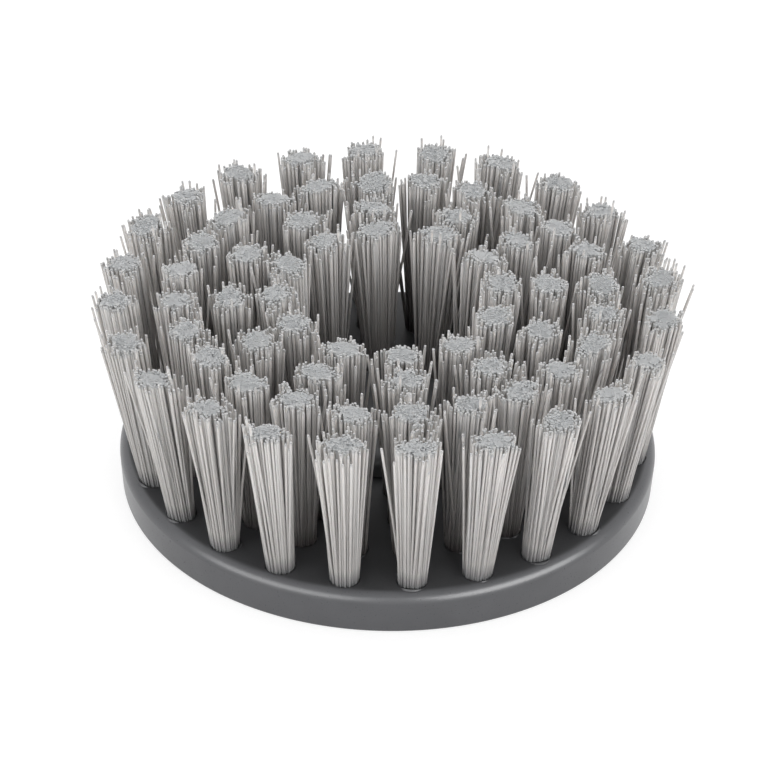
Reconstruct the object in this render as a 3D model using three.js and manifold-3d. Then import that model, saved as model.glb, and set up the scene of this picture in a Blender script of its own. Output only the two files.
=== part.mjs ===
import * as THREE from 'three';
import { mergeVertices } from 'three/addons/utils/BufferGeometryUtils.js';
import Module from 'manifold-3d';

// Round brush head of an electric scrubber, lying on its back with the bristles up.
// Millimetres, +Z up, origin at the centre of the rim's foot, on which the head rests.

// Clearance between pieces that fit together
const FIT_GAP = 0.3;

// Brush plate
const PLATE_RADIUS = 45;
const PLATE_HEIGHT = 7.4;
const RIM_WALL = 1.5;
const RIM_TAPER = 0.3;
const RIM_ROUND = 2;
const FOOT_BEVEL = 0.4;

// Tufts: four rings from the rim inwards, the two outer ones with twice as many tufts
const HOLE_RADIUS = 2.4;
const HOLE_TO_RIM = 0.1;
const HOLE_TO_HUB = 1;
const TRIM_LENGTH = 28.4;
const TIP_RADIUS = 3.4;
const SPOKES = 12;
const SPOKE_PHASE = THREE.MathUtils.degToRad(7.5);
const RINGS = [
  { tuftsPerSpoke: 2, lean: THREE.MathUtils.degToRad(7.8) },
  { tuftsPerSpoke: 2, lean: THREE.MathUtils.degToRad(4.4) },
  { tuftsPerSpoke: 1, lean: THREE.MathUtils.degToRad(2.6) },
  { tuftsPerSpoke: 1, lean: THREE.MathUtils.degToRad(3.7) },
];

// Strands of a tuft: three on either side of the anchor that the filaments are folded round
const STRAND_SIDES = 3;
const STRAND_FOOT_RADIUS = 0.55;
const STRAND_TIP_RADIUS = 1;
const STRAND_TO_HOLE = 0.5;
const STRAND_FAN = THREE.MathUtils.degToRad(55);
const BACKING_THICKNESS = 1.2;

// Flat-wire anchors
const ANCHOR_HEIGHT = 1.8;
const ANCHOR_THICKNESS = 0.4;
const ANCHORED_RINGS = 2;

// Back cover
const COVER_RECESS = 0.4;
const COVER_SHEET = 1.4;
const RIB_HEIGHT = 0.6;
const RIB_WIDTH = 1.2;
const RIB_COUNT = 12;

// Drive hub, with a hexagonal socket for the tool's spindle
const HUB_RADIUS = 13.6;
const HUB_RISE = 4;
const HUB_ROUND = 2;
const STEM_RADIUS = 7.8;
const HEX_FLATS = 9;
const SOCKET_ROOF = 1.8;

// Spring ring that holds the spindle by its corners
const RING_WIRE_RADIUS = 0.5;
const RING_CATCH = 0.5;
const RING_DEPTH = 1.9;
const RING_OPENING = THREE.MathUtils.degToRad(40);

// Cover screws
const SCREW_COUNT = 4;
const SCREW_RADIUS = 1.1;
const SCREW_HEAD_RADIUS = 2;
const SCREW_HEAD_HEIGHT = 1.4;
const SCREW_HEAD_RECESS = 0.2;
const SCREW_COVER = 0.8;
const CROSS_LENGTH = 2.6;
const CROSS_WIDTH = 0.5;
const CROSS_DEPTH = 0.8;

// Fineness of the round shapes
const PLATE_STEPS = 64;
const COVER_STEPS = 48;
const HUB_STEPS = 32;
const ARC_STEPS = 4;
const HOLE_SIDES = 8;
const SCREW_SIDES = 12;
const WIRE_SIDES = 6;
const WIRE_STEPS = 24;

// How far a cutting tool runs past the face that it cuts, and a rib into what it grows from
const OVERRUN = 1;
const ROOT = 0.4;

// Heights of the stack between the cover's ribs and the plate's face
const ribFoot = COVER_RECESS;
const sheetFoot = ribFoot + RIB_HEIGHT;
const sheetTop = sheetFoot + COVER_SHEET;
const backingFoot = sheetTop + FIT_GAP;
const backingTop = backingFoot + BACKING_THICKNESS;
const wallFoot = backingTop + FIT_GAP;
const plateTop = PLATE_HEIGHT;
const trimTop = plateTop + TRIM_LENGTH;
const hubFoot = plateTop + FIT_GAP;
const hubTop = hubFoot + HUB_RISE;
const socketTop = hubTop - SOCKET_ROOF;

// Radii that follow from the driving sizes
const recessRadius = PLATE_RADIUS - RIM_WALL;
const coverRadius = recessRadius - FIT_GAP;
const stemHole = STEM_RADIUS + FIT_GAP;
const outerRing = recessRadius - HOLE_TO_RIM - HOLE_RADIUS;
const innerRing = HUB_RADIUS + HOLE_TO_HUB + HOLE_RADIUS;
const ringPitch = (outerRing - innerRing) / (RINGS.length - 1);
const screwCircle = (stemHole + HUB_RADIUS) / 2;
const hexCorner = HEX_FLATS / Math.sqrt(3);
const symmetryAngle = SPOKE_PHASE + Math.PI / SPOKES;

const plateLook = { color: 0x5c5e60, roughness: 0.5, metalness: 0 };
const coverLook = { color: 0x4c4e50, roughness: 0.55, metalness: 0 };
const hubLook = { color: 0x3a3b3d, roughness: 0.45, metalness: 0 };
const nylonLook = { color: 0xb6b3b0, roughness: 0.4, metalness: 0 };
const steelLook = { color: 0xb8babc, roughness: 0.3, metalness: 1 };

const wasm = await Module();
wasm.setup();

function solid(geometry) {
  const bare = geometry.clone();
  bare.deleteAttribute('normal');
  bare.deleteAttribute('uv');
  const merged = mergeVertices(bare);
  const corners = merged.index.array;
  const kept = [];
  for (let i = 0; i < corners.length; i += 3) {
    const [a, b, c] = corners.slice(i, i + 3);
    if (a !== b && b !== c && c !== a) kept.push(a, b, c);
  }
  return new wasm.Manifold(new wasm.Mesh({
    numProp: 3,
    vertProperties: Float32Array.from(merged.attributes.position.array),
    triVerts: Uint32Array.from(kept),
  }));
}

function joined(bodies) {
  return bodies.reduce((whole, body) => whole.add(body));
}

function named(name, body, look) {
  const shape = body.getMesh();
  const geometry = new THREE.BufferGeometry();
  geometry.setAttribute('position', new THREE.BufferAttribute(shape.vertProperties, 3));
  geometry.setIndex(new THREE.BufferAttribute(shape.triVerts, 1));
  geometry.computeVertexNormals();
  const mesh = new THREE.Mesh(geometry, new THREE.MeshStandardMaterial(look));
  mesh.name = name;
  return mesh;
}

// A profile of (radius, height) points turned round the Z axis
function turned(profile, steps) {
  return solid(new THREE.LatheGeometry(profile, steps).rotateX(Math.PI / 2));
}

function point(radius, height) {
  return new THREE.Vector2(radius, height);
}

// Quarter round from the side of a shape, at sideRadius, to its flat top
function topRound(sideRadius, top, round) {
  return Array.from({ length: ARC_STEPS + 1 }, (_, i) => {
    const angle = (i / ARC_STEPS) * (Math.PI / 2);
    const radius = sideRadius - round + round * Math.cos(angle);
    return point(radius, top - round + round * Math.sin(angle));
  });
}

// An upright prism whose first flat faces -Y
function prism(radius, foot, top, sides, tipRadius = radius) {
  const height = top - foot;
  const turn = Math.PI / sides;
  const shape = new THREE.CylinderGeometry(tipRadius, radius, height, sides, 1, false, turn);
  return shape.rotateX(Math.PI / 2).translate(0, 0, foot + height / 2);
}

function box(length, width, foot, top) {
  return new THREE.BoxGeometry(length, width, top - foot).translate(0, 0, (foot + top) / 2);
}

// Moves each level of a shape sideways in step with its height above the plate's face
function leaned(geometry, slopeX, slopeY = 0) {
  const shear = new THREE.Matrix4().set(
    1, 0, slopeX, -slopeX * plateTop,
    0, 1, slopeY, -slopeY * plateTop,
    0, 0, 1, 0,
    0, 0, 0, 1,
  );
  return geometry.applyMatrix4(shear);
}

// Every tuft's place: its ring from 1 at the rim, its number in the ring, and its polar place
function tuftPlaces() {
  const places = [];
  RINGS.forEach(({ tuftsPerSpoke, lean }, index) => {
    const count = SPOKES * tuftsPerSpoke;
    for (let number = 0; number < count; number += 1) {
      const angle = SPOKE_PHASE + (number / count) * Math.PI * 2;
      const radius = outerRing - index * ringPitch;
      places.push({ ring: index + 1, number: number + 1, radius, angle, slope: Math.tan(lean) });
    }
  });
  return places;
}

function toTuft(geometry, { radius, angle }) {
  return geometry.translate(radius, 0, 0).rotateZ(angle);
}

function tuftHole(tuft) {
  const hole = prism(HOLE_RADIUS, wallFoot - OVERRUN, plateTop + OVERRUN, HOLE_SIDES);
  return solid(toTuft(leaned(hole, tuft.slope), tuft));
}

// Strands run straight from the backing, through the hole, to the trimmed end
function tuftStrands(tuft) {
  const foot = backingTop - ROOT;
  const reach = trimTop - plateTop;
  const spreadAtPlate = HOLE_RADIUS - STRAND_FOOT_RADIUS - STRAND_TO_HOLE;
  const spreadAtTip = TIP_RADIUS - STRAND_TIP_RADIUS;
  const strands = [];
  for (const side of [0, Math.PI]) {
    for (const fan of [-STRAND_FAN, 0, STRAND_FAN]) {
      const outward = Math.sin(side + fan);
      const along = Math.cos(side + fan);
      const flare = (spreadAtTip - spreadAtPlate) / reach;
      const strand = prism(STRAND_FOOT_RADIUS, foot, trimTop, STRAND_SIDES, STRAND_TIP_RADIUS);
      strand.rotateZ(side);
      leaned(strand, tuft.slope + flare * outward, flare * along);
      strand.translate(spreadAtPlate * outward, spreadAtPlate * along, 0);
      strands.push(solid(toTuft(strand, tuft)));
    }
  }
  return strands;
}

// The flat wire stands edge up across its hole, in line with the spoke
function tuftAnchor(tuft) {
  const foot = wallFoot;
  const length = 2 * (HOLE_RADIUS * Math.cos(Math.PI / HOLE_SIDES) - FIT_GAP);
  const wire = box(length, ANCHOR_THICKNESS, foot, foot + ANCHOR_HEIGHT);
  return solid(toTuft(leaned(wire, tuft.slope), tuft));
}

function brushPlate(tufts) {
  const side = topRound(PLATE_RADIUS, plateTop, RIM_ROUND);
  const footRadius = PLATE_RADIUS - RIM_TAPER;
  let body = turned([
    point(recessRadius, 0),
    point(footRadius - FOOT_BEVEL, 0),
    point(footRadius, FOOT_BEVEL),
    ...side,
    point(stemHole, plateTop),
    point(stemHole, wallFoot),
    point(recessRadius, wallFoot),
    point(recessRadius, 0),
  ], PLATE_STEPS);
  for (const tuft of tufts) body = body.subtract(tuftHole(tuft));
  for (const hole of screwHoles(wallFoot - OVERRUN, plateTop + OVERRUN)) body = body.subtract(hole);
  return body;
}

function aroundScrews(make) {
  return Array.from({ length: SCREW_COUNT }, (_, i) => {
    const angle = symmetryAngle + (i / SCREW_COUNT) * Math.PI * 2;
    return make().translate(screwCircle, 0, 0).rotateZ(angle);
  });
}

function screwHoles(foot, top) {
  const shapes = aroundScrews(() => prism(SCREW_RADIUS + FIT_GAP, foot, top, SCREW_SIDES));
  return shapes.map(solid);
}

const screwHeadFoot = ribFoot + SCREW_HEAD_RECESS;
const screwSeat = screwHeadFoot + SCREW_HEAD_HEIGHT;
const screwTip = hubTop - SCREW_COVER - FIT_GAP;

function backCover() {
  const collarRadius = HUB_RADIUS;
  const edge = coverRadius - RIB_WIDTH;
  let body = turned([
    point(stemHole, ribFoot),
    point(collarRadius, ribFoot),
    point(collarRadius, sheetFoot),
    point(edge, sheetFoot),
    point(edge, ribFoot),
    point(coverRadius, ribFoot),
    point(coverRadius, sheetTop),
    point(collarRadius, sheetTop),
    point(collarRadius, backingTop),
    point(stemHole, backingTop),
    point(stemHole, ribFoot),
  ], COVER_STEPS);
  const ribFrom = collarRadius - ROOT;
  const ribTo = edge + ROOT;
  for (let i = 0; i < RIB_COUNT; i += 1) {
    const rib = box(ribTo - ribFrom, RIB_WIDTH, ribFoot, sheetFoot + ROOT);
    rib.translate((ribFrom + ribTo) / 2, 0, 0).rotateZ(SPOKE_PHASE + (i / RIB_COUNT) * Math.PI * 2);
    body = body.add(solid(rib));
  }
  const headRadius = SCREW_HEAD_RADIUS + FIT_GAP;
  const heads = aroundScrews(() => prism(headRadius, ribFoot - OVERRUN, screwSeat + FIT_GAP, SCREW_SIDES));
  for (const head of heads) body = body.subtract(solid(head));
  for (const hole of screwHoles(ribFoot, backingTop + OVERRUN)) body = body.subtract(hole);
  return body;
}

const ringRadius = hexCorner - RING_CATCH + RING_WIRE_RADIUS;
const ringHeight = ribFoot + RING_DEPTH;

function driveHub() {
  let body = turned([
    point(0, ribFoot),
    point(STEM_RADIUS, ribFoot),
    point(STEM_RADIUS, hubFoot),
    point(HUB_RADIUS, hubFoot),
    ...topRound(HUB_RADIUS, hubTop, HUB_ROUND),
    point(0, hubTop),
  ], HUB_STEPS);
  const socket = prism(hexCorner, ribFoot - OVERRUN, socketTop, 6).rotateZ(symmetryAngle);
  const grooveRadius = ringRadius + RING_WIRE_RADIUS + FIT_GAP;
  const grooveHalf = RING_WIRE_RADIUS + FIT_GAP;
  const groove = prism(grooveRadius, ringHeight - grooveHalf, ringHeight + grooveHalf, HUB_STEPS);
  body = body.subtract(solid(socket)).subtract(solid(groove));
  for (const hole of screwHoles(hubFoot - OVERRUN, screwTip + FIT_GAP)) body = body.subtract(hole);
  return body;
}

// Open ring of round wire, its opening on the head's plane of symmetry
class WireArc extends THREE.Curve {
  getPoint(share, target = new THREE.Vector3()) {
    const angle = symmetryAngle + RING_OPENING / 2 + share * (Math.PI * 2 - RING_OPENING);
    return target.set(ringRadius * Math.cos(angle), ringRadius * Math.sin(angle), ringHeight);
  }
}

function retainingRing() {
  const section = new THREE.Shape();
  for (let i = 0; i < WIRE_SIDES; i += 1) {
    const angle = (i / WIRE_SIDES) * Math.PI * 2;
    const x = RING_WIRE_RADIUS * Math.cos(angle);
    const y = RING_WIRE_RADIUS * Math.sin(angle);
    if (i === 0) section.moveTo(x, y);
    else section.lineTo(x, y);
  }
  section.closePath();
  const route = { extrudePath: new WireArc(), steps: WIRE_STEPS, bevelEnabled: false };
  return solid(new THREE.ExtrudeGeometry(section, route));
}

function coverScrews() {
  const headTop = screwSeat;
  const shanks = aroundScrews(() => prism(SCREW_RADIUS, headTop - ROOT, screwTip, SCREW_SIDES));
  const heads = aroundScrews(() => prism(SCREW_HEAD_RADIUS, screwHeadFoot, headTop, SCREW_SIDES));
  const crossTop = screwHeadFoot + CROSS_DEPTH;
  const slots = aroundScrews(() => box(CROSS_LENGTH, CROSS_WIDTH, screwHeadFoot - OVERRUN, crossTop));
  const bars = aroundScrews(() => box(CROSS_WIDTH, CROSS_LENGTH, screwHeadFoot - OVERRUN, crossTop));
  return shanks.map((shank, i) => {
    const whole = solid(shank).add(solid(heads[i]));
    return whole.subtract(solid(slots[i])).subtract(solid(bars[i]));
  });
}

// A quarter of the backing, centred on the given direction, with a gap to the next quarter
function backingQuarter(direction) {
  const inner = HUB_RADIUS + FIT_GAP;
  const half = Math.PI / 4;
  const outerHalf = half - FIT_GAP / 2 / coverRadius;
  const innerHalf = half - FIT_GAP / 2 / inner;
  const outline = new THREE.Shape();
  outline.absarc(0, 0, coverRadius, direction - outerHalf, direction + outerHalf, false);
  outline.absarc(0, 0, inner, direction + innerHalf, direction - innerHalf, true);
  outline.closePath();
  const depth = { depth: BACKING_THICKNESS, bevelEnabled: false, curveSegments: COVER_STEPS / 4 };
  return solid(new THREE.ExtrudeGeometry(outline, depth).translate(0, 0, backingFoot));
}

function bristleQuarter(direction, tufts) {
  const inQuarter = tufts.filter(({ angle }) => Math.cos(angle - direction) > Math.SQRT1_2);
  return joined([backingQuarter(direction), ...inQuarter.flatMap(tuftStrands)]);
}

const tufts = tuftPlaces();
const quarters = { bristles_right: 0, bristles_back: 0.5, bristles_left: 1, bristles_front: 1.5 };

const head = new THREE.Group();
head.add(named('brush_plate', brushPlate(tufts), plateLook));
for (const [name, halfTurns] of Object.entries(quarters)) {
  head.add(named(name, bristleQuarter(halfTurns * Math.PI, tufts), nylonLook));
}
for (const tuft of tufts.filter(({ ring }) => ring <= ANCHORED_RINGS)) {
  const name = `tuft_anchor_${tuft.ring}_${String(tuft.number).padStart(2, '0')}`;
  head.add(named(name, tuftAnchor(tuft), steelLook));
}
head.add(named('drive_hub', driveHub(), hubLook));
head.add(named('retaining_ring', retainingRing(), steelLook));
head.add(named('back_cover', backCover(), coverLook));
coverScrews().forEach((screw, i) => head.add(named(`cover_screw_${i + 1}`, screw, steelLook)));

export default head;
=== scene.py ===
import math
from typing import NamedTuple

import bpy
import numpy as np
from mathutils import Matrix, Vector


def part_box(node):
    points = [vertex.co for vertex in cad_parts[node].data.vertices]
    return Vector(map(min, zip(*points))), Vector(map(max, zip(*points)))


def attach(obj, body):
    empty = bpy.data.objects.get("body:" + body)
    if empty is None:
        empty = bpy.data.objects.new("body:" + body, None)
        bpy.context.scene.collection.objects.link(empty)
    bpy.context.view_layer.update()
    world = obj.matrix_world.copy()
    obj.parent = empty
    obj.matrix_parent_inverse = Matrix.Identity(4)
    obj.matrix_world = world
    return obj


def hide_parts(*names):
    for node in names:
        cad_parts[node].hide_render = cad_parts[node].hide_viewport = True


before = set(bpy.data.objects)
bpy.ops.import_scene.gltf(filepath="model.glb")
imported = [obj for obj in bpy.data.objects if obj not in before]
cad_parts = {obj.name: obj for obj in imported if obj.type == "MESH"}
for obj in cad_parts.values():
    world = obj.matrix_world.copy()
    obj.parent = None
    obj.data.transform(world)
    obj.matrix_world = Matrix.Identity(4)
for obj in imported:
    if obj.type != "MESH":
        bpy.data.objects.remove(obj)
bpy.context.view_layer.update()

# Round brush head of an electric scrubber, lying on its back with the bristles up

# Lengths are in millimetres unless a comment says otherwise, and MM turns them into the frame's metres
MM = 0.001
rng = np.random.default_rng(20)


def solid_box(node):
    """Lowest and highest corner of a solid, in millimetres."""
    return [np.array(corner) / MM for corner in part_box(node)]


# Sizes read from the solids
PLATE_RADIUS, _, PLATE_TOP = solid_box("brush_plate")[1]
TRIM_TOP = solid_box("bristles_front")[1][2]
HUB_RADIUS, _, HUB_TOP = solid_box("drive_hub")[1]
RIB_FOOT = solid_box("drive_hub")[0][2]
COVER_RADIUS, _, COLLAR_TOP = solid_box("back_cover")[1]
ANCHOR_FOOT = solid_box("tuft_anchor_1_01")[0][2]
ANCHOR_TOP = solid_box("tuft_anchor_1_01")[1][2]
SCREW_FOOT = solid_box("cover_screw_1")[0][2]
SCREW_TIP = solid_box("cover_screw_1")[1][2]
RING_FOOT = solid_box("retaining_ring")[0][2]
RING_TOP = solid_box("retaining_ring")[1][2]

# Plate
FIT_GAP = 0.3
RIM_WALL = 1.5
RIM_TAPER = 0.3
RIM_ROUND = 2.0
FOOT_ROUND = 0.4
RECESS_RADIUS = PLATE_RADIUS - RIM_WALL
WALL_FOOT = COLLAR_TOP + FIT_GAP
HUB_FOOT = PLATE_TOP + FIT_GAP

# Tufts: four rings from the rim inwards, as (tufts on each spoke, lean in degrees)
HOLE_RADIUS = 2.4
HOLE_TO_RIM = 0.1
HOLE_TO_HUB = 1.0
SPOKES = 12
SPOKE_PHASE = math.radians(7.5)
RINGS = [(2, 7.8), (2, 4.4), (1, 2.6), (1, 3.7)]
OUTER_RING = RECESS_RADIUS - HOLE_TO_RIM - HOLE_RADIUS
INNER_RING = HUB_RADIUS + HOLE_TO_HUB + HOLE_RADIUS
RING_PITCH = (OUTER_RING - INNER_RING) / (len(RINGS) - 1)
ANCHORED_RINGS = 2
SYMMETRY_ANGLE = SPOKE_PHASE + math.pi / SPOKES

# Hub, cover, spring ring and screws
HUB_ROUND = 2.0
STEM_RADIUS = 7.8
STEM_HOLE = STEM_RADIUS + FIT_GAP
SOCKET_FLATS = 9.0
SOCKET_ROOF = 1.8
SOCKET_TOP = HUB_TOP - SOCKET_ROOF
HEX_CORNER = SOCKET_FLATS / math.sqrt(3)
RIB_HEIGHT = 0.6
RIB_WIDTH = 1.2
RIB_COUNT = 12
SHEET_THICKNESS = 1.4
SHEET_FOOT = RIB_FOOT + RIB_HEIGHT
SHEET_TOP = SHEET_FOOT + SHEET_THICKNESS
WIRE_RADIUS = 0.5
RING_RADIUS = HEX_CORNER
RING_OPENING = math.radians(40)
SCREW_COUNT = 4
SCREW_RADIUS = 1.1
SCREW_HOLE = SCREW_RADIUS + FIT_GAP
HEAD_RADIUS = 2.0
HEAD_HEIGHT = 1.4
HEAD_TOP = SCREW_FOOT + HEAD_HEIGHT
SCREW_CIRCLE = (STEM_HOLE + HUB_RADIUS) / 2


class Tuft(NamedTuple):
    """A tuft's ring and number, both from 1, its place round the axis, and the slope of its lean."""
    ring: int
    number: int
    radius: float
    angle: float
    slope: float


def tuft_places():
    """Every tuft, ring by ring from the rim inwards."""
    places = []
    for index, (per_spoke, lean) in enumerate(RINGS):
        count = SPOKES * per_spoke
        radius = OUTER_RING - index * RING_PITCH
        slope = math.tan(math.radians(lean))
        for number in range(count):
            angle = SPOKE_PHASE + number / count * math.tau
            places.append(Tuft(index + 1, number + 1, radius, angle, slope))
    return places


TUFTS = tuft_places()


# Shapes, each as a list of points and a list of faces

def lathe(profile, steps):
    """A (radius, height) profile turned round Z.

    A profile that starts on the axis ends on it too, and any other closes on itself.
    """
    on_axis = [abs(radius) < 1e-9 for radius, _ in profile]
    points, rows = [], []
    for (radius, height), axis in zip(profile, on_axis):
        count = 1 if axis else steps
        rows.append(list(range(len(points), len(points) + count)))
        for i in range(count):
            angle = i / steps * math.tau
            points.append((radius * math.cos(angle), radius * math.sin(angle), height))
    pairs = list(zip(rows, rows[1:]))
    if not on_axis[0]:
        pairs.append((rows[-1], rows[0]))
    faces = []
    for low, high in pairs:
        for i in range(steps):
            j = (i + 1) % steps
            corners = [low[i % len(low)], low[j % len(low)], high[j % len(high)], high[i % len(high)]]
            corners = list(dict.fromkeys(corners))
            if len(corners) > 2:
                faces.append(corners)
    return points, faces


def stack(sections):
    """A closed shape through rings of points of equal count, with flat ends."""
    count = len(sections[0])
    points = [tuple(p) for section in sections for p in section]
    faces = []
    for level in range(len(sections) - 1):
        for i in range(count):
            a, b = level * count + i, level * count + (i + 1) % count
            faces.append([a, b, b + count, a + count])
    faces.append(list(range(count))[::-1])
    faces.append(list(range(len(points) - count, len(points))))
    return points, faces


def circle(radius, height, steps, centre=(0.0, 0.0), turn=0.0):
    """A level ring of points."""
    angles = [turn + i / steps * math.tau for i in range(steps)]
    return [(centre[0] + radius * math.cos(a), centre[1] + radius * math.sin(a), height) for a in angles]


def rod(radius, foot, top, steps):
    """An upright rod round the Z axis."""
    return stack([circle(radius, height, steps) for height in (foot, top)])


def arc(centre, radius, start, end, steps):
    """Points of a circular arc in a profile, angles in degrees."""
    turns = np.radians(np.linspace(start, end, steps + 1))
    return [(centre[0] + radius * math.cos(t), centre[1] + radius * math.sin(t)) for t in turns]


def block(low, high):
    """A box between two corners."""
    (x0, y0, z0), (x1, y1, z1) = low, high
    return stack([[(x0, y0, z), (x1, y0, z), (x1, y1, z), (x0, y1, z)] for z in (z0, z1)])


def turned(shape, angle):
    """A shape turned round Z."""
    points, faces = shape
    c, s = math.cos(angle), math.sin(angle)
    return [(c * x - s * y, s * x + c * y, z) for x, y, z in points], faces


def gathered(shapes):
    """Several shapes as one."""
    points, faces = [], []
    for some_points, some_faces in shapes:
        start = len(points)
        points += list(some_points)
        faces += [[start + i for i in face] for face in some_faces]
    return points, faces


def at_screw(shape, number):
    """A shape moved from the Z axis to one screw's axis, numbered from 1."""
    points, faces = shape
    moved = [(x + SCREW_CIRCLE, y, z) for x, y, z in points]
    return turned((moved, faces), SYMMETRY_ANGLE + (number - 1) / SCREW_COUNT * math.tau)


def at_screws(shape):
    """One copy of a shape at each screw, as one shape."""
    return gathered([at_screw(shape, number) for number in range(1, SCREW_COUNT + 1)])


# Pieces

def to_mesh(name, shape):
    points, faces = shape
    mesh = bpy.data.meshes.new(name)
    mesh.from_pydata((np.asarray(points) * MM).tolist(), [], faces)
    return mesh


def new_piece(name, shape, material, slot, *nodes):
    """A new piece that rides on the head's one body and stands for the named solids."""
    piece = bpy.data.objects.new(name, to_mesh(name, shape))
    bpy.context.scene.collection.objects.link(piece)
    piece.data.materials.append(material)
    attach(piece, "root")
    if nodes:
        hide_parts(*nodes)
    return piece


def keep_result(piece):
    """Replaces a piece's mesh by what its modifiers make of it."""
    shown = piece.evaluated_get(bpy.context.evaluated_depsgraph_get())
    mesh = bpy.data.meshes.new_from_object(shown)
    old = piece.data
    piece.modifiers.clear()
    piece.data = mesh
    bpy.data.meshes.remove(old)
    mesh.name = piece.name


def carve(piece, shape, operation="DIFFERENCE"):
    """Cuts a shape out of a piece, or joins it on."""
    mesh = to_mesh("tool", shape)
    tool = bpy.data.objects.new("tool", mesh)
    bpy.context.scene.collection.objects.link(tool)
    step = piece.modifiers.new("carve", "BOOLEAN")
    step.operation, step.solver, step.object = operation, "EXACT", tool
    keep_result(piece)
    bpy.data.objects.remove(tool)
    bpy.data.meshes.remove(mesh)


def shade_smooth(piece, angle):
    """Shades smoothly, apart from edges that turn by more than an angle in degrees."""
    piece.data.polygons.foreach_set("use_smooth", [True] * len(piece.data.polygons))
    piece.data.set_sharp_from_angle(angle=math.radians(angle))


def finish_edges(piece, width=0.0, angle=35.0):
    """Rounds the sharp edges by any width given, then shades smoothly with flat faces kept flat."""
    if width:
        step = piece.modifiers.new("edges", "BEVEL")
        step.width, step.segments, step.limit_method = width * MM, 2, "ANGLE"
        step.angle_limit = math.radians(angle)
        keep_result(piece)
    shade_smooth(piece, angle)
    step = piece.modifiers.new("flat faces", "WEIGHTED_NORMAL")
    step.keep_sharp, step.weight, step.mode = True, 100, "FACE_AREA"
    keep_result(piece)


# Materials

BLACK = (0.0, 0.0, 0.0)
MOTTLE_SIZE = 7.0
SPECK_SIZE = 0.4
SPECK_SHARE = 0.15
SPECK_LIFT = 1.6
MATTE_FADE = (0.15, 0.02)
MATTE_DULLNESS = 0.25
# Share of painted shade that darkens the plate's top face
PAINTED_TOP_SHADE = 0.5
STREAK_SIZE = 0.5
STREAK_DEPTH = 0.01
SCRATCH_SIZE = 0.2
SCRATCH_DEPTH = 0.004


class Nodes:
    """A material's node tree, with short calls to add and join nodes."""

    def __init__(self, name):
        self.material = bpy.data.materials.new(name)
        self.material.use_nodes = True
        self.tree = self.material.node_tree
        self.shader = self.tree.nodes["Principled BSDF"]

    def fill(self, socket, value):
        if isinstance(value, bpy.types.NodeSocket):
            self.tree.links.new(value, socket)
        else:
            socket.default_value = value

    def add(self, kind, **inputs):
        node = self.tree.nodes.new(kind)
        for key, value in inputs.items():
            self.fill(node.inputs[key.replace("_", " ")], value)
        return node

    def put(self, name, value):
        self.fill(self.shader.inputs[name], value)

    def place(self):
        return self.add("ShaderNodeNewGeometry").outputs["Position"]

    def noise(self, size, detail=2.0, stretch=(1.0, 1.0, 1.0)):
        """Noise with lumps of about a size in millimetres, drawn out where stretch is small."""
        drawn = self.add("ShaderNodeMapping", Vector=self.place(), Scale=stretch).outputs["Vector"]
        node = self.add("ShaderNodeTexNoise", Vector=drawn, Scale=1 / (size * MM), Detail=detail)
        return node.outputs["Fac"]

    def attribute(self, name):
        node = self.add("ShaderNodeAttribute")
        node.attribute_name = name
        return node.outputs["Fac"]

    def ramp(self, value, *stops):
        node = self.add("ShaderNodeValToRGB", Fac=value)
        places = node.color_ramp.elements
        while len(places) < len(stops):
            places.new(0.5)
        for element, (position, colour) in zip(places, stops):
            element.position = position
            element.color = (*colour, 1.0)
        return node.outputs["Color"]

    def span(self, value, start, end, low, high):
        """Maps start to end on low to high."""
        node = self.add("ShaderNodeMapRange", Value=value)
        for name, number in zip(("From Min", "From Max", "To Min", "To Max"), (start, end, low, high)):
            node.inputs[name].default_value = number
        return node.outputs["Result"]

    def mix(self, share, first, second):
        node = self.tree.nodes.new("ShaderNodeMix")
        node.data_type = "RGBA"
        self.fill(node.inputs[0], share)
        for socket, colour in ((node.inputs[6], first), (node.inputs[7], second)):
            self.fill(socket, (*colour, 1.0) if isinstance(colour, tuple) else colour)
        return node.outputs[2]

    def sum(self, first, second):
        node = self.tree.nodes.new("ShaderNodeMath")
        node.operation = "ADD"
        self.fill(node.inputs[0], first)
        self.fill(node.inputs[1], second)
        return node.outputs["Value"]

    def near_height(self, height, share):
        """A share on what lies at a height or above it, which fades out just below it."""
        here = self.add("ShaderNodeSeparateXYZ", Vector=self.place()).outputs["Z"]
        none, full = [(height - below) * MM for below in MATTE_FADE]
        return self.span(here, none, full, 0.0, share)

    def bump(self, height, depth):
        """Relief of a depth in millimetres."""
        node = self.add("ShaderNodeBump", Height=height, Distance=depth * MM)
        self.put("Normal", node.outputs["Normal"])


def moulded_plastic(name, dark, light, rough, grain_size, grain_depth, matte_and_shade_top=None):
    """Satin moulded plastic: faint mottling, pale specks, a fine moulded grain and uneven gloss.

    A face at the height of the matte top, where one is given, has the duller finish of a spark-eroded
    mould, and painted shade darkens it.
    """
    nodes = Nodes(name)
    colour = nodes.ramp(nodes.noise(MOTTLE_SIZE, 4.0), (0.35, dark), (0.65, light))
    specks = nodes.span(nodes.noise(SPECK_SIZE), 0.66, 0.8, 0.0, SPECK_SHARE)
    colour = nodes.mix(specks, colour, tuple(SPECK_LIFT * c for c in light))
    grain = nodes.noise(grain_size, 3.0)
    dullness = nodes.span(grain, 0.3, 0.7, rough - 0.03, rough + 0.04)
    if matte_and_shade_top:
        dullness = nodes.sum(dullness, nodes.near_height(matte_and_shade_top, MATTE_DULLNESS))
        # Painted shade darkens the top face
        colour = nodes.mix(nodes.near_height(matte_and_shade_top, PAINTED_TOP_SHADE), colour, BLACK)
    nodes.put("Base Color", colour)
    nodes.put("Roughness", dullness)
    nodes.put("Specular IOR Level", 0.5)
    nodes.bump(grain, grain_depth)
    return nodes.material


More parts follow.
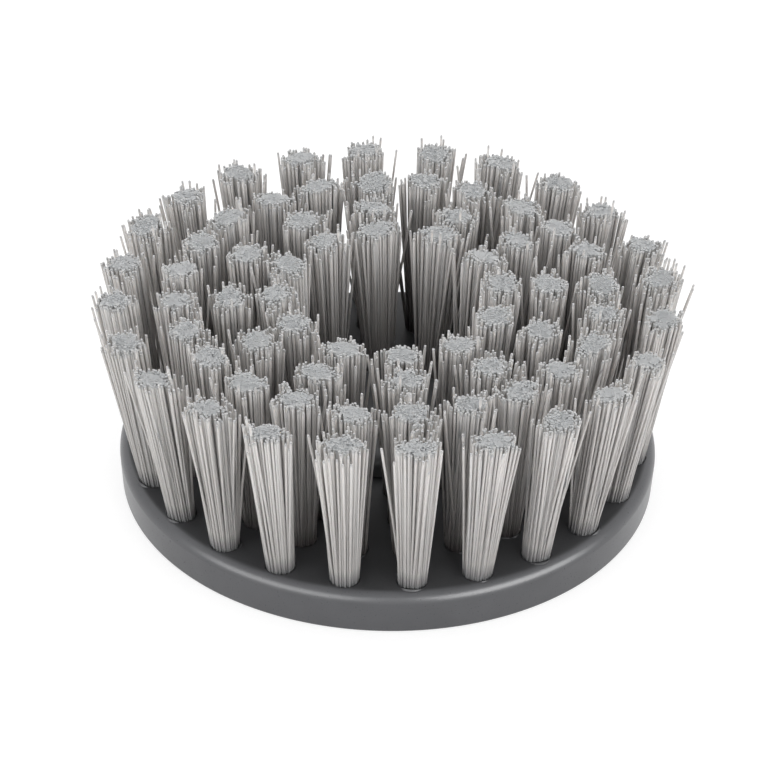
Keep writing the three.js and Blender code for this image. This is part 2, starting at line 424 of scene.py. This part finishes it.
def nylon(name):
    """Drawn nylon, warm grey, with faint streaks along each filament and a tone of its own for each.

    Painted shade darkens it towards the foot, most of all in the inner rings, and the trimmed end is
    painted a darker, cooler grey as shade to even out the stronger light on the tops.
    """
    tones = [(0.0, (0.635, 0.617, 0.603)), (0.5, (0.67, 0.654, 0.641)), (1.0, (0.705, 0.691, 0.679))]
    # The streaks' colour, then the colours of painted shade along the foot, just above the plate, on the
    # inner rings' feet and on the trimmed ends
    streak, foot, painted_low_shade = (0.53, 0.488, 0.463), (0.25, 0.24, 0.234), (0.10, 0.105, 0.112)
    inner_painted_shade, trimmed_end_shade = (0.075, 0.066, 0.062), (0.43, 0.436, 0.441)
    nodes = Nodes(name)
    colour = nodes.ramp(nodes.attribute("tone"), *tones)
    streaks = nodes.noise(STREAK_SIZE, 2.0, (1.0, 1.0, 0.03))
    colour = nodes.mix(nodes.span(streaks, 0.5, 0.8, 0.0, 0.25), colour, streak)
    # Painted shade: darker all the way down towards the foot
    colour = nodes.mix(nodes.span(nodes.attribute("along"), 0.05, 0.85, 0.64, 0.0), colour, foot)
    # Painted shade: a dark, cool band on the filaments just above the plate
    colour = nodes.mix(nodes.span(nodes.attribute("along"), 0.04, 0.155, 0.8, 0.0), colour, painted_low_shade)
    # Painted shade on the feet of all rings but the outermost
    colour = nodes.mix(nodes.span(nodes.attribute("depth"), 0.0, 1.0, 0.0, 0.8), colour, inner_painted_shade)
    # Painted shade: the trimmed ends a darker, cooler grey than the sides, to even out the stronger light
    # on the tops
    nodes.put("Base Color", nodes.mix(nodes.attribute("cut"), colour, trimmed_end_shade))
    nodes.put("Subsurface Weight", 0.9)
    nodes.put("Subsurface Radius", (1.0, 0.96, 0.92))
    nodes.put("Subsurface Scale", 0.35 * MM)
    nodes.put("Roughness", nodes.span(streaks, 0.3, 0.7, 0.48, 0.6))
    nodes.put("Diffuse Roughness", 1.0)
    nodes.put("Specular IOR Level", 0.1)
    nodes.bump(streaks, STREAK_DEPTH)
    return nodes.material


def drawn_steel(name):
    """Bright drawn steel with fine scratches."""
    nodes = Nodes(name)
    scratches = nodes.noise(SCRATCH_SIZE, 3.0, (1.0, 1.0, 0.12))
    nodes.put("Base Color", nodes.ramp(scratches, (0.3, (0.50, 0.50, 0.51)), (0.7, (0.66, 0.66, 0.67))))
    nodes.put("Metallic", 1.0)
    nodes.put("Roughness", nodes.span(scratches, 0.3, 0.7, 0.24, 0.42))
    nodes.bump(scratches, SCRATCH_DEPTH)
    return nodes.material


PLATE_PLASTIC = moulded_plastic(
    "plate plastic", dark=(0.068, 0.069, 0.074), light=(0.079, 0.080, 0.086),
    rough=0.3, grain_size=0.25, grain_depth=0.003, matte_and_shade_top=PLATE_TOP,
)
COVER_PLASTIC = moulded_plastic(
    "cover plastic", dark=(0.060, 0.062, 0.065), light=(0.072, 0.074, 0.077),
    rough=0.54, grain_size=0.35, grain_depth=0.03,
)
HUB_PLASTIC = moulded_plastic(
    "hub plastic", dark=(0.050, 0.051, 0.053), light=(0.060, 0.061, 0.063),
    rough=0.44, grain_size=0.25, grain_depth=0.015,
)
NYLON = nylon("bristle nylon")
STEEL = drawn_steel("drawn steel")


# Brush plate, with its tuft holes

PLATE_STEPS = 256
HOLE_STEPS = 28
HOLE_FLARE = 0.12
MOUTH_RADIUS = HOLE_RADIUS + 2 * HOLE_FLARE
CLEAR = 1.0


def tuft_hole(tuft):
    """A blind hole along a tuft's lean, with a small flare at its mouth."""
    levels = [
        (ANCHOR_FOOT - FIT_GAP / 2, HOLE_RADIUS),
        (PLATE_TOP - HOLE_FLARE, HOLE_RADIUS),
        (PLATE_TOP + HOLE_FLARE, MOUTH_RADIUS),
        (PLATE_TOP + CLEAR, MOUTH_RADIUS),
    ]
    rings = []
    for height, size in levels:
        middle = tuft.radius + tuft.slope * (height - PLATE_TOP)
        rings.append(circle(size, height, HOLE_STEPS, (middle, 0.0)))
    return turned(stack(rings), tuft.angle)


def make_plate():
    foot_radius = PLATE_RADIUS - RIM_TAPER
    profile = [
        (RECESS_RADIUS, 0.0),
        *arc((foot_radius - FOOT_ROUND, FOOT_ROUND), FOOT_ROUND, -90, 0, 4),
        *arc((PLATE_RADIUS - RIM_ROUND, PLATE_TOP - RIM_ROUND), RIM_ROUND, 0, 90, 14),
        (STEM_HOLE, PLATE_TOP),
        (STEM_HOLE, WALL_FOOT),
        (RECESS_RADIUS, WALL_FOOT),
    ]
    disc = lathe(profile, PLATE_STEPS)
    plate = new_piece("moulded_plate", disc, PLATE_PLASTIC, "plate_plastic", "brush_plate")
    carve(plate, gathered([tuft_hole(tuft) for tuft in TUFTS]))
    carve(plate, at_screws(rod(SCREW_HOLE, WALL_FOOT - CLEAR, PLATE_TOP + CLEAR, HOLE_STEPS)))
    finish_edges(plate)


# Raised lips at the mouths of the holes, pushed up as the anchors were driven in

# Angles are in radians, and a pair of numbers is the range that a value is drawn from
MOST_LIPS = 3
LIP_STEPS = 10
LIP_SCATTER = 0.5
LIP_HALF_ANGLE = (0.25, 0.7)
LIP_RISE = (0.15, 0.42)
LIP_WIDTH = (0.15, 0.38)
LIP_UNEVENNESS = (0.75, 1.0)
LIP_END = 0.08

# Section of a lip: its crest as shares of its width and rise, and how its feet go into the plate
CREST_WIDTH = 0.3
INNER_CREST = 0.85
OUTER_SINK = 0.04
INNER_SINK = 0.1
INNER_FOOT = 0.05


def hole_lip(tuft):
    """A low crescent of plastic on the edge of one hole, near one end of its anchor.

    The corners of its section go from its outer foot over its crest to its foot inside the hole.
    """
    middle = rng.choice([0.0, math.pi]) + rng.normal(0, LIP_SCATTER)
    half = rng.uniform(*LIP_HALF_ANGLE)
    rise = rng.uniform(*LIP_RISE)
    width = rng.uniform(*LIP_WIDTH)
    sections = []
    for i in range(LIP_STEPS + 1):
        share = i / LIP_STEPS
        turn = middle + half * (2 * share - 1)
        swell = LIP_END + math.sin(share * math.pi) * rng.uniform(*LIP_UNEVENNESS)
        corners = [
            (MOUTH_RADIUS + width * swell, PLATE_TOP - OUTER_SINK),
            (MOUTH_RADIUS + CREST_WIDTH * width * swell, PLATE_TOP + rise * swell),
            (MOUTH_RADIUS - CREST_WIDTH * width * swell, PLATE_TOP + INNER_CREST * rise * swell),
            (MOUTH_RADIUS - INNER_FOOT, PLATE_TOP - INNER_SINK),
        ]
        sections.append([(tuft.radius + r * math.cos(turn), r * math.sin(turn), z) for r, z in corners])
    return turned(stack(sections), tuft.angle)


def make_lips():
    lips = []
    for tuft in TUFTS:
        lips += [hole_lip(tuft) for _ in range(rng.integers(1, MOST_LIPS + 1))]
    finish_edges(new_piece("hole_lips", gathered(lips), PLATE_PLASTIC, "plate_plastic"), angle=60)


# Filaments, each a closed tube through a few levels, which are shares of its length

FILAMENTS_PER_TUFT = 190
FILAMENT_RADIUS = 0.21
FILAMENT_SIDES = 6
FILAMENT_SHARP_ANGLE = 70.0
FILAMENT_DEPTH = 1.2
FILAMENT_FOOT = PLATE_TOP - FILAMENT_DEPTH
FILAMENT_BOW = 0.04
FILAMENT_TONE = 0.16
BEND_POWER = (1.0, 1.12)
HOLE_SLACK = 0.05
LEVELS = np.array([0.0, 0.5, 0.975, 0.994, 1.0])
# Where the trimmed end's painted shade starts, and how much of it the fringe tips get
CUT_LEVEL = 0.98
CUT_AT_EDGE = 0.75
# How far up a filament the painted shade on the inner rings' feet reaches, as a share of its length
INNER_SHADE_TOP = 0.7
GOLDEN_ANGLE = math.pi * (3 - math.sqrt(5))

# Trimmed end of a core filament, wider than the rest and rounded off
TIP_GIRTH = 1.42
TIP_ROUND = 0.88

# Core of a tuft, with its tip's radius along the brush's own radius and across it
CORE_REACH = 0.76
CORE_TIP = np.array([2.4, 2.8])
CORE_UNEVENNESS = 0.08

# Clumps in the core, and how each tuft and tip differs from the next
CLUMPS = 20
CLUMP_SCATTER = 0.08
CLUMP_PULL = (0.1, 0.5)
CLUMP_LEAN = 0.3
CLUMP_TONE = 0.12
MIDDLE_TONE = 0.5
TUFT_SPREAD = 0.04
TUFT_LEAN = 0.3
TIP_JITTER = 0.05

# Fringe round the core, and the few filaments that stray from the rest or stand proud of it
FRINGE_SPLAY = 1.0
FRINGE_EVENNESS = 10.0
FRINGE_SHARES = (0.25, 2.2)
FRINGE_LIMIT = 2.5
LIMIT_SHARES = (0.7, 1.0)
FRINGE_STRETCH = (0.85, 1.1)
FRINGE_DROP = 0.45
FRINGE_TURN = 0.1
STRAY_CHANCE = 0.09
STRAY_REACH = 0.7
STRAY_SPLAY = (0.5, 3.2)
STRAY_TURN = 0.6
PROUD_CHANCE = 0.03
PROUD_REACH = 0.8
PROUD_RISE = (0.3, 2.2)

# How far the trim is from flat: from tuft to tuft, by tilt, from clump to clump, and in core and fringe
TRIM_OFFSET = 0.12
TRIM_TILT = 0.2
TRIM_CLUMP = 0.15
TRIM_CORE = 0.03
TRIM_FRINGE = 0.5


def even_disc(count):
    """Points spread evenly over a disc of radius 1, and their angles."""
    k = np.arange(count)
    turn = k * GOLDEN_ANGLE + rng.uniform(0, math.tau)
    reach = np.sqrt((k + 0.5) / count)
    return np.stack([reach * np.cos(turn), reach * np.sin(turn)], 1), turn


def core_tips(disc, reach, middles, clump):
    """Where the tips stand before any splay: fanned out, drawn to their clumps, which lean apart."""
    pull = reach ** 4 * rng.uniform(*CLUMP_PULL, CLUMPS)[clump]
    lean = middles * rng.exponential(CLUMP_LEAN, (CLUMPS, 1))
    tip = (disc + pull[:, None] * (middles[clump] - disc)) * CORE_TIP * rng.normal(1.0, TUFT_SPREAD, 2)
    tip += reach[:, None] ** 3 * lean[clump] + rng.normal(0, TIP_JITTER, tip.shape)
    return tip


def fringe(reach, clump):
    """Each filament's share in the fringe, and its splay there, more in some clumps than in others."""
    count = len(reach)
    core_reach = rng.normal(CORE_REACH, CORE_UNEVENNESS, CLUMPS)[clump]
    edge = np.clip((reach - core_reach) / (1 - core_reach), 0, 1)
    together = np.clip(rng.exponential(1.0, CLUMPS), *FRINGE_SHARES)[clump]
    splay = edge * together * rng.gamma(FRINGE_EVENNESS, FRINGE_SPLAY / FRINGE_EVENNESS, count)
    return edge, np.minimum(splay, FRINGE_LIMIT * rng.uniform(*LIMIT_SHARES, count))


def splayed(splay, reach, turn):
    """How far the splay moves each tip, and which filaments stray."""
    count = len(reach)
    stray = (rng.random(count) < STRAY_CHANCE) & (reach > STRAY_REACH)
    splay = splay + stray * rng.uniform(*STRAY_SPLAY, count)
    heading = turn + (FRINGE_TURN + STRAY_TURN * stray) * rng.normal(0, 1, count)
    along, across = FRINGE_STRETCH
    return splay[:, None] * np.stack([along * np.cos(heading), across * np.sin(heading)], 1), stray


def tip_heights(disc, reach, clump, edge, splay):
    """Heights of the tips, nearly level in the core and lower in the fringe, and which ones stand proud."""
    count = len(reach)
    height = TRIM_TOP + rng.normal(0, TRIM_OFFSET) + disc @ rng.normal(0, TRIM_TILT, 2)
    height += reach * rng.normal(0, TRIM_CLUMP, CLUMPS)[clump]
    height += (TRIM_CORE + TRIM_FRINGE * edge) * rng.normal(0, 1, count) - FRINGE_DROP * splay
    proud = (rng.random(count) < PROUD_CHANCE) & (reach > PROUD_REACH)
    height += proud * rng.uniform(*PROUD_RISE, count)
    return height, proud


def centre_lines(tuft, foot, tip, height):
    """Gently bent lines from the feet to the tips, along the tuft's lean, as (filament, level, xyz)."""
    bend = LEVELS ** rng.uniform(*BEND_POWER)
    bow = np.sin(LEVELS * math.pi)[None, :, None] * rng.normal(0, FILAMENT_BOW, (len(foot), 1, 2))
    flat = foot[:, None] + (tip - foot)[:, None] * bend[None, :, None] + bow
    z = FILAMENT_FOOT + LEVELS[None] * (height - FILAMENT_FOOT)[:, None]
    x = tuft.radius + tuft.slope * (z - PLATE_TOP) + flat[..., 0]
    y = flat[..., 1]
    c, s = math.cos(tuft.angle), math.sin(tuft.angle)
    return np.stack([c * x - s * y, s * x + c * y, z], -1)


def tuft_filaments(tuft):
    """One tuft: its centre lines, and each filament's tone and share in the core, both from 0 to 1.

    The filaments fill the hole evenly. Most keep together as a core with a flat trimmed end, and those
    round its ragged edge splay out and end lower. Strays and proud filaments have no share in the core.
    """
    disc, turn = even_disc(FILAMENTS_PER_TUFT)
    reach = np.linalg.norm(disc, axis=1)
    foot = disc * (HOLE_RADIUS - FILAMENT_RADIUS - HOLE_SLACK)
    middles, _ = even_disc(CLUMPS)
    middles += rng.normal(0, CLUMP_SCATTER, middles.shape)
    clump = np.argmin(np.linalg.norm(disc[:, None] - middles[None], axis=2), axis=1)

    tip = core_tips(disc, reach, middles, clump)
    edge, splay = fringe(reach, clump)
    shift, stray = splayed(splay, reach, turn)
    tip += shift
    tip += rng.normal(0, TUFT_LEAN, 2)
    height, proud = tip_heights(disc, reach, clump, edge, splay)
    lines = centre_lines(tuft, foot, tip, height)
    tone = rng.normal(MIDDLE_TONE, CLUMP_TONE, CLUMPS)[clump]
    tone += rng.normal(0, FILAMENT_TONE, FILAMENTS_PER_TUFT)
    return lines, np.clip(tone, 0, 1), (1 - edge) * ~(stray | proud)


def filament_shape(lines, core):
    """Closed tubes round the centre lines, with rounded ends, which are a little wider in the core."""
    count, levels, _ = lines.shape
    sides = FILAMENT_SIDES
    turn = rng.uniform(0, math.tau, (count, 1, 1)) + np.arange(sides) / sides * math.tau
    ring = np.stack([np.cos(turn), np.sin(turn), np.zeros_like(turn)], -1)
    radius = np.full((count, levels, 1, 1), FILAMENT_RADIUS)
    tip_girth = 1 + (TIP_GIRTH - 1) * core ** 3
    radius[:, -2, 0, 0] *= tip_girth
    radius[:, -1, 0, 0] *= tip_girth * TIP_ROUND
    points = (lines[:, :, None] + radius * ring).reshape(-1, 3)
    first = (np.arange(count) * levels * sides)[:, None, None]
    level = (np.arange(levels - 1) * sides)[None, :, None]
    a = first + level + np.arange(sides)
    b = first + level + (np.arange(sides) + 1) % sides
    walls = np.stack([a, b, b + sides, a + sides], -1).reshape(-1, 4)
    feet = first[:, 0] + np.arange(sides)[::-1]
    tips = first[:, 0] + (levels - 1) * sides + np.arange(sides)
    return points, walls.tolist() + feet.tolist() + tips.tolist()


def make_bristles(side, middle):
    """The filaments of one quarter of the brush, with what the nylon needs to know at each of their points.

    Along is the share of a filament's length. Cut marks its trimmed end, which has painted shade, and depth
    the painted shade on its foot, but not in the outermost ring.
    """
    near = [tuft for tuft in TUFTS if math.cos(tuft.angle - middle) > math.sqrt(0.5)]
    lines, tones, core = [np.concatenate(values) for values in zip(*map(tuft_filaments, near))]
    shape = filament_shape(lines, core)
    piece = new_piece(f"filaments_{side}", shape, NYLON, "bristle_nylon", f"bristles_{side}")
    inner = np.repeat([tuft.ring > 1 for tuft in near], FILAMENTS_PER_TUFT)
    # Painted shade on the inner rings' feet, strongest at the foot and gone part way up
    shade = np.clip(1 - LEVELS / INNER_SHADE_TOP, 0, 1)
    values_at_levels = {
        "tone": np.outer(tones, np.ones_like(LEVELS)),
        "along": np.outer(np.ones_like(tones), LEVELS),
        "cut": np.outer(CUT_AT_EDGE + (1 - CUT_AT_EDGE) * core, LEVELS > CUT_LEVEL),
        "depth": np.outer(inner, shade),
    }
    for name, values in values_at_levels.items():
        layer = piece.data.attributes.new(name, "FLOAT", "POINT")
        layer.data.foreach_set("value", np.repeat(values, FILAMENT_SIDES).astype(np.float32))
    shade_smooth(piece, FILAMENT_SHARP_ANGLE)


# Flat-wire anchors across the feet of the holes

ANCHOR_THICKNESS = 0.4
ANCHOR_LENGTH = 2 * (HOLE_RADIUS * math.cos(math.pi / 8) - FIT_GAP)
ANCHOR_ROUND = 0.1
ANCHOR_CROP = ANCHOR_ROUND / 2 / ANCHOR_LENGTH
ANCHOR_END_GIRTH = 0.75
END_HEIGHT_POWER = 0.3


def tuft_anchor(tuft):
    """A short length of flat wire on edge, with rolled edges.

    Its cropped ends are a little smaller, by less in height than in thickness.
    """
    half, height = ANCHOR_THICKNESS / 2 - ANCHOR_ROUND, ANCHOR_TOP - ANCHOR_FOOT
    corners = [
        (half, ANCHOR_ROUND, -90), (half, height - ANCHOR_ROUND, 0),
        (-half, height - ANCHOR_ROUND, 90), (-half, ANCHOR_ROUND, 180),
    ]
    outline = [p for y, z, start in corners for p in arc((y, z), ANCHOR_ROUND, start, start + 90, 3)]
    stations = [
        (-0.5, ANCHOR_END_GIRTH), (-0.5 + ANCHOR_CROP, 1.0),
        (0.5 - ANCHOR_CROP, 1.0), (0.5, ANCHOR_END_GIRTH),
    ]
    sections = []
    for share, girth in stations:
        ring = []
        for y, z in outline:
            height_here = ANCHOR_FOOT + height / 2 + girth ** END_HEIGHT_POWER * (z - height / 2)
            x = tuft.radius + share * ANCHOR_LENGTH + tuft.slope * (height_here - PLATE_TOP)
            ring.append((x, girth * y, height_here))
        sections.append(ring)
    return turned(stack(sections), tuft.angle)


def make_anchors(ring):
    """All anchors of one ring. Only the outer rings' anchors stand for solids."""
    in_ring = [tuft for tuft in TUFTS if tuft.ring == ring]
    shape = gathered([tuft_anchor(tuft) for tuft in in_ring])
    nodes = [f"tuft_anchor_{ring}_{tuft.number:02d}" for tuft in in_ring] if ring <= ANCHORED_RINGS else []
    finish_edges(new_piece(f"flat_wire_anchors_{ring}", shape, STEEL, "spring_steel", *nodes), angle=50)


# Hub, cover, spring ring and screws

HUB_STEPS = 128
COVER_STEPS = 192
SCREW_STEPS = 32
STEM_CHAMFER = 0.3
LEAD_IN = 0.5
GROOVE_RADIUS = RING_RADIUS + WIRE_RADIUS + FIT_GAP
GROOVE_HALF = WIRE_RADIUS + FIT_GAP
RING_MIDDLE = (RING_FOOT + RING_TOP) / 2
RIB_ROOT = 0.4
COVER_EDGE = 0.15
RING_STEPS = 96
WIRE_SIDES = 16

# Domed end of the ring's wire, as (share of its length, share of its girth), and the stretch of even steps
DOME = [(0.0, 0.5), (0.004, 0.87), (0.008, 1.0)]
EVEN_STRETCH = (0.02, 0.98)


def make_hub():
    profile = [
        (0.0, RIB_FOOT),
        (STEM_RADIUS - STEM_CHAMFER, RIB_FOOT),
        (STEM_RADIUS, RIB_FOOT + STEM_CHAMFER),
        (STEM_RADIUS, HUB_FOOT),
        (HUB_RADIUS, HUB_FOOT),
        *arc((HUB_RADIUS - HUB_ROUND, HUB_TOP - HUB_ROUND), HUB_ROUND, 0, 90, 12),
        (0.0, HUB_TOP),
    ]
    hub = new_piece("moulded_hub", lathe(profile, HUB_STEPS), HUB_PLASTIC, "hub_plastic", "drive_hub")
    wide = HEX_CORNER + LEAD_IN
    socket = [
        (wide + CLEAR, RIB_FOOT - CLEAR),
        (wide, RIB_FOOT),
        (HEX_CORNER, RIB_FOOT + LEAD_IN),
        (HEX_CORNER, SOCKET_TOP),
    ]
    carve(hub, stack([circle(radius, height, 6, turn=SYMMETRY_ANGLE) for radius, height in socket]))
    carve(hub, rod(GROOVE_RADIUS, RING_MIDDLE - GROOVE_HALF, RING_MIDDLE + GROOVE_HALF, HUB_STEPS // 2))
    carve(hub, at_screws(rod(SCREW_HOLE, HUB_FOOT - CLEAR, SCREW_TIP + FIT_GAP, SCREW_STEPS)))
    finish_edges(hub)


def make_cover():
    edge = COVER_RADIUS - RIB_WIDTH
    profile = [
        (STEM_HOLE, RIB_FOOT),
        (HUB_RADIUS, RIB_FOOT),
        (HUB_RADIUS, SHEET_FOOT),
        (edge, SHEET_FOOT),
        (edge, RIB_FOOT),
        (COVER_RADIUS, RIB_FOOT),
        (COVER_RADIUS, SHEET_TOP),
        (HUB_RADIUS, SHEET_TOP),
        (HUB_RADIUS, COLLAR_TOP),
        (STEM_HOLE, COLLAR_TOP),
    ]
    disc = lathe(profile, COVER_STEPS)
    cover = new_piece("ribbed_cover", disc, COVER_PLASTIC, "cover_plastic", "back_cover")
    rib = block(
        (HUB_RADIUS - RIB_ROOT, -RIB_WIDTH / 2, RIB_FOOT),
        (edge + RIB_ROOT, RIB_WIDTH / 2, SHEET_FOOT + RIB_ROOT),
    )
    turns = [SPOKE_PHASE + i / RIB_COUNT * math.tau for i in range(RIB_COUNT)]
    carve(cover, gathered([turned(rib, turn) for turn in turns]), "UNION")
    carve(cover, at_screws(rod(HEAD_RADIUS + FIT_GAP, RIB_FOOT - CLEAR, HEAD_TOP + FIT_GAP, SCREW_STEPS)))
    carve(cover, at_screws(rod(SCREW_HOLE, RIB_FOOT, COLLAR_TOP + CLEAR, SCREW_STEPS)))
    finish_edges(cover, COVER_EDGE)


def make_ring():
    """Open ring of round wire with domed ends."""
    first = SYMMETRY_ANGLE + RING_OPENING / 2
    sweep = math.tau - RING_OPENING
    stations = DOME + [(share, 1.0) for share in np.linspace(*EVEN_STRETCH, RING_STEPS)]
    stations += [(1 - share, girth) for share, girth in reversed(DOME)]
    sections = []
    for share, girth in stations:
        angle = first + share * sweep
        ring = []
        for i in range(WIRE_SIDES):
            turn = i / WIRE_SIDES * math.tau
            reach = RING_RADIUS + girth * WIRE_RADIUS * math.cos(turn)
            height = RING_MIDDLE + girth * WIRE_RADIUS * math.sin(turn)
            ring.append((reach * math.cos(angle), reach * math.sin(angle), height))
        sections.append(ring)
    piece = new_piece("spring_ring", stack(sections), STEEL, "spring_steel", "retaining_ring")
    finish_edges(piece, angle=50)


THREAD_PITCH = 0.8
THREAD_DEPTH = 0.28
THREAD_STEPS = 6
THREAD_ROOT = 0.6
SHANK_OVERLAP = 0.3
SHANK_FOOT = HEAD_TOP - SHANK_OVERLAP
POINT_SHARE = 0.45
POINT_TAPER = 1.6
HEAD_ROUND = 0.5
CROSS_LENGTH = 2.6
CROSS_WIDTH = 0.5
CROSS_DEPTH = 0.8


def threaded_shank():
    """A shank whose thread winds round it in one helix, pointed at its tip.

    Flank is 0 along the thread's flat root and rises to 1 at its crest.
    """
    length = SCREW_TIP - SHANK_FOOT
    levels = int(length / THREAD_PITCH * THREAD_STEPS)
    sections = []
    for level in range(levels + 1):
        height = SHANK_FOOT + length * level / levels
        taper = min(1.0, POINT_SHARE + (SCREW_TIP - height) / POINT_TAPER)
        ring = []
        for i in range(SCREW_STEPS):
            turn = i / SCREW_STEPS
            phase = ((height - SHANK_FOOT) / THREAD_PITCH - turn) % 1.0
            flank = max(0.0, 2 * abs(phase - 0.5) * (1 + THREAD_ROOT) - THREAD_ROOT)
            radius = taper * (SCREW_RADIUS - THREAD_DEPTH * (1 - flank))
            ring.append((radius * math.cos(turn * math.tau), radius * math.sin(turn * math.tau), height))
        sections.append(ring)
    return stack(sections)


def make_screw(number):
    profile = [
        (0.0, SCREW_FOOT),
        *arc((HEAD_RADIUS - HEAD_ROUND, SCREW_FOOT + HEAD_ROUND), HEAD_ROUND, -90, 0, 6),
        (HEAD_RADIUS, HEAD_TOP),
        (0.0, HEAD_TOP),
    ]
    head = at_screw(lathe(profile, SCREW_STEPS), number)
    screw = new_piece(f"cross_screw_{number}", head, STEEL, "spring_steel", f"cover_screw_{number}")
    low, high = SCREW_FOOT - CLEAR, SCREW_FOOT + CROSS_DEPTH
    for x, y in ((CROSS_LENGTH / 2, CROSS_WIDTH / 2), (CROSS_WIDTH / 2, CROSS_LENGTH / 2)):
        carve(screw, at_screw(block((-x, -y, low), (x, y, high)), number))
    carve(screw, at_screw(threaded_shank(), number), "UNION")
    finish_edges(screw)


# Floor, light and camera

AMBIENT = 0.71
FLOOR_LIFT = 0.62
FLOOR_HALF = 3000.0
FLOOR_GREY = 0.45

# Lamps as (name, azimuth, elevation, width, height, watts), with angles in degrees and lengths in metres
LAMP_DISTANCE = 1.0
SOFT_LAMPS = [
    ("key left", -45.0, 12.0, 0.9, 0.6, 3.9),
    ("key right", 45.0, 12.0, 0.9, 0.6, 3.9),
    ("back top", 180.0, 68.0, 1.0, 1.0, 3.4),
    ("side left", -100.0, 40.0, 0.8, 0.8, 1.2),
    ("side right", 100.0, 40.0, 0.8, 0.8, 1.2),
]
GLOSS_LAMPS = [
    ("gloss left", -40.0, 22.0, 1.2, 0.6, 11.0),
    ("gloss right", 52.0, 22.0, 1.1, 0.6, 17.5),
]


def seen_level(tree, lit, seen):
    """One level as light on things, and another as the camera sees it, also mirrored or through glass."""
    path = tree.nodes.new("ShaderNodeLightPath")
    shown = path.outputs["Is Camera Ray"]
    for name in ("Is Glossy Ray", "Is Transmission Ray"):
        either = tree.nodes.new("ShaderNodeMath")
        either.operation = "MAXIMUM"
        tree.links.new(shown, either.inputs[0])
        tree.links.new(path.outputs[name], either.inputs[1])
        shown = either.outputs[0]
    level = tree.nodes.new("ShaderNodeMapRange")
    tree.links.new(shown, level.inputs["Value"])
    level.inputs["To Min"].default_value = lit
    level.inputs["To Max"].default_value = seen
    return level.outputs["Result"]


def make_floor():
    nodes = Nodes("floor")
    nodes.put("Base Color", (FLOOR_GREY, FLOOR_GREY, FLOOR_GREY, 1.0))
    nodes.put("Roughness", 0.9)
    nodes.put("Emission Color", (1.0, 1.0, 1.0, 1.0))
    nodes.put("Emission Strength", seen_level(nodes.tree, 0.0, FLOOR_LIFT))
    half = FLOOR_HALF
    corners = [(-half, -half, 0.0), (half, -half, 0.0), (half, half, 0.0), (-half, half, 0.0)]
    mesh = to_mesh("floor", (corners, [[0, 1, 2, 3]]))
    mesh.materials.append(nodes.material)
    floor = bpy.data.objects.new("floor", mesh)
    bpy.context.scene.collection.objects.link(floor)


def make_world():
    """White all round as it is seen, and a lower level of light from it."""
    world = bpy.data.worlds.new("studio")
    bpy.context.scene.world = world
    world.use_nodes = True
    tree = world.node_tree
    light = tree.nodes["Background"]
    light.inputs["Color"].default_value = (1.0, 1.0, 1.0, 1.0)
    tree.links.new(seen_level(tree, AMBIENT, 1.0), light.inputs["Strength"])


def direction(azimuth, elevation):
    """The way from the head towards an azimuth and elevation in radians, with the camera's side at 0."""
    return Vector((
        math.sin(azimuth) * math.cos(elevation),
        -math.cos(azimuth) * math.cos(elevation),
        math.sin(elevation),
    ))


def soft_box(name, azimuth, elevation, width, height, watts):
    """A lamp that faces the head."""
    away = direction(math.radians(azimuth), math.radians(elevation))
    light = bpy.data.lights.new(name, "AREA")
    light.shape, light.size, light.size_y, light.energy = "RECTANGLE", width, height, watts
    lamp = bpy.data.objects.new(name, light)
    bpy.context.scene.collection.objects.link(lamp)
    lamp.location = away * LAMP_DISTANCE
    lamp.rotation_euler = (-away).to_track_quat("-Z", "Y").to_euler()
    return lamp


def make_lamps():
    """Lamps that light the matte surfaces, and lamps that show only as gloss."""
    for lamp in SOFT_LAMPS:
        soft_box(*lamp).visible_glossy = False
    for lamp in GLOSS_LAMPS:
        soft_box(*lamp).visible_diffuse = False


# Camera, whose clipping range is in metres
AZIMUTH = math.radians(1.67)
ELEVATION = math.radians(34.34)
ROLL = math.radians(0.957)
DISTANCE = 563.85
AIM = Vector((-0.785, -0.02, 17.1))
LENS = 158.6
SENSOR = 36.0
NEAR_CLIP = 0.01
FAR_CLIP = 20.0


def make_camera():
    data = bpy.data.cameras.new("camera")
    data.lens, data.sensor_width = LENS, SENSOR
    data.clip_start, data.clip_end = NEAR_CLIP, FAR_CLIP
    camera = bpy.data.objects.new("camera", data)
    bpy.context.scene.collection.objects.link(camera)
    away = direction(AZIMUTH, ELEVATION)
    facing = (-away).to_track_quat("-Z", "Y").to_matrix().to_4x4()
    place = (AIM + away * DISTANCE) * MM
    camera.matrix_world = Matrix.Translation(place) @ facing @ Matrix.Rotation(ROLL, 4, "Z")
    bpy.context.scene.camera = camera


make_camera()
make_plate()
make_lips()
for side, half_turns in (("right", 0.0), ("back", 0.5), ("left", 1.0), ("front", 1.5)):
    make_bristles(side, half_turns * math.pi)
for ring in range(1, len(RINGS) + 1):
    make_anchors(ring)
make_hub()
make_cover()
make_ring()
for number in range(1, SCREW_COUNT + 1):
    make_screw(number)

make_floor()
make_world()
make_lamps()
bpy.context.scene.view_settings.view_transform = "Standard"
